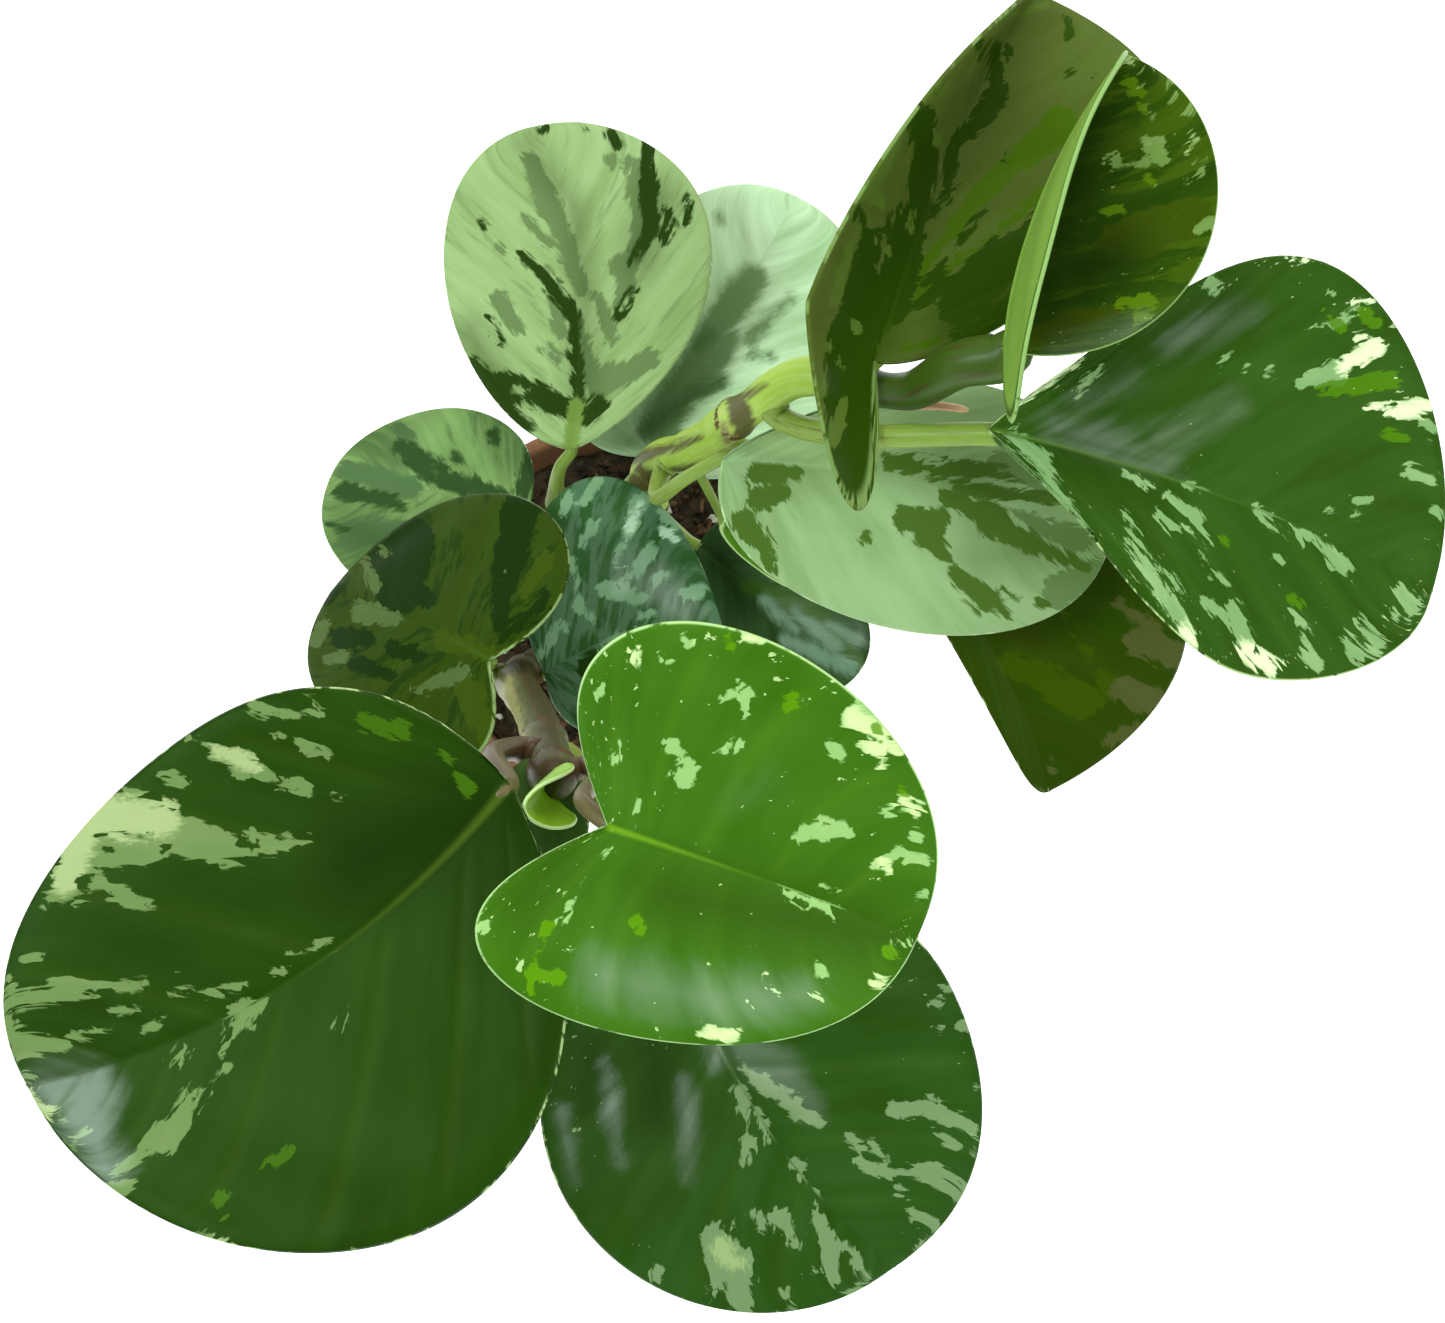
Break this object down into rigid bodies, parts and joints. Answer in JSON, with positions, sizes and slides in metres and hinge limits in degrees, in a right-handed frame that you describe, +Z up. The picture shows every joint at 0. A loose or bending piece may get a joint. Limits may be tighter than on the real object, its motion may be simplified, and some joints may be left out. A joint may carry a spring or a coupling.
{
  "type": "potted marble peperomia",
  "caption": "Variegated peperomia with thick, rounded, glossy leaves marbled green and cream on fleshy stems, in soil in a plain clay pot.",
  "frame": {"origin": "middle of the pot's flat underside", "axes": "+Z up, -Y towards the viewer of the picture, +X to the right of the picture"},
  "size_m": [0.2303, 0.2637, 0.2999],
  "materials": {
    "leaf_dark": "waxy gloss, dark green marbled with pale grey-green and cream",
    "leaf_bright": "waxy gloss, bright young green with small cream and lime flecks",
    "leaf_pale": "waxy gloss, pale cream-green with dark green patches",
    "stem": "smooth, fleshy, yellow-green with reddish-brown streaks",
    "soil": "rough, crumbly, dark potting soil",
    "clay": "matt unglazed terracotta"
  },
  "bodies": {
    "root": {"leaf_front_left": "leaf_dark", "leaf_front_top": "leaf_bright", "leaf_front_low": "leaf_dark", "leaf_left_dark": "leaf_dark", "leaf_left_back": "leaf_pale", "leaf_middle": "leaf_dark", "leaf_back_tall": "leaf_pale", "leaf_back_broad": "leaf_pale", "leaf_curled": "leaf_dark", "leaf_folded": "leaf_dark", "leaf_right_large": "leaf_dark", "leaf_right_pale": "leaf_pale", "leaf_right_low": "leaf_dark", "leaf_centre_dark": "leaf_dark", "leaf_small_right": "leaf_bright", "stem_front": "stem", "stem_right": "stem", "stem_back": "stem", "pot": "clay", "soil": "soil"}
  },
  "joints": []
}
